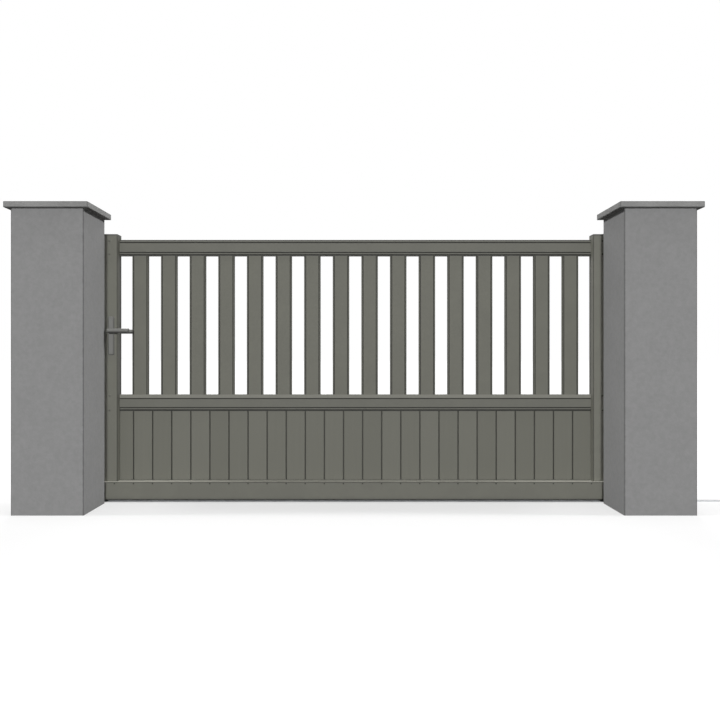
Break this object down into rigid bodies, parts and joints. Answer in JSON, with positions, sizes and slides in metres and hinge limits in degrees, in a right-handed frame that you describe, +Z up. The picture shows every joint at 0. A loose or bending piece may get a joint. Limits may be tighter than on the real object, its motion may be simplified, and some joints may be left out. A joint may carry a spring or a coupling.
{
  "type": "sliding driveway gate with masonry pillars",
  "caption": "Grey steel sliding driveway gate on a floor track behind two square masonry pillars: upright slats over a boarded panel, lever handles on one stile.",
  "frame": {"origin": "middle of the left pillar's base, at ground level", "axes": "+X along the gateway from the left pillar to the right one, seen from the road; +Y away from the road, so the leaf is behind the pillars; +Z up"},
  "size_m": [6.473, 0.6353, 1.717],
  "materials": {
    "masonry_render": "matte",
    "coping_stone": "matte",
    "gate_paint": "matte",
    "board_paint": "matte",
    "handle_metal": "satin",
    "galvanised_steel": "matte",
    "wheel_steel": "satin",
    "roller_nylon": "matte",
    "cap_plastic": "matte"
  },
  "bodies": {
    "pillars": {"left_pillar": "masonry_render", "right_pillar": "masonry_render", "left_coping": "coping_stone", "right_coping": "coping_stone", "ground_track": "galvanised_steel", "track_stop": "galvanised_steel", "guide_bracket": "galvanised_steel", "guide_rollers": "roller_nylon", "strike_angle": "galvanised_steel"},
    "leaf": {"bottom_beam": "gate_paint", "left_beam_cap": "gate_paint", "right_beam_cap": "gate_paint", "left_stile": "gate_paint", "right_stile": "gate_paint", "left_stile_cap": "cap_plastic", "right_stile_cap": "cap_plastic", "top_rail": "gate_paint", "middle_rail": "gate_paint", "slat_01": "gate_paint", "slat_02": "gate_paint", "slat_03": "gate_paint", "slat_04": "gate_paint", "slat_05": "gate_paint", "slat_06": "gate_paint", "slat_07": "gate_paint", "slat_08": "gate_paint", "slat_09": "gate_paint", "slat_10": "gate_paint", "slat_11": "gate_paint", "slat_12": "gate_paint", "slat_13": "gate_paint", "slat_14": "gate_paint", "slat_15": "gate_paint", "slat_16": "gate_paint", "board_panel": "board_paint", "guide_channel": "galvanised_steel", "front_handle_plate": "handle_metal", "back_handle_plate": "handle_metal", "left_wheel_carriage": "galvanised_steel", "right_wheel_carriage": "galvanised_steel", "left_wheel": "wheel_steel", "right_wheel": "wheel_steel"},
    "handle": {"front_lever": "handle_metal", "back_lever": "handle_metal", "handle_spindle": "handle_metal"}
  },
  "joints": [
    {"name": "leaf_slide", "type": "slide", "parent": "pillars", "child": "leaf", "axis": [1, 0, 0], "range_m": [0, 2.8]},
    {"name": "handle_turn", "type": "hinge", "parent": "leaf", "child": "handle", "pos_m": [0.226, 0.292, 1.024], "axis": [0, 1, 0], "range_deg": [0, 45], "stiffness_Nm_per_rad": 2, "springref_deg": -40.11}
  ]
}
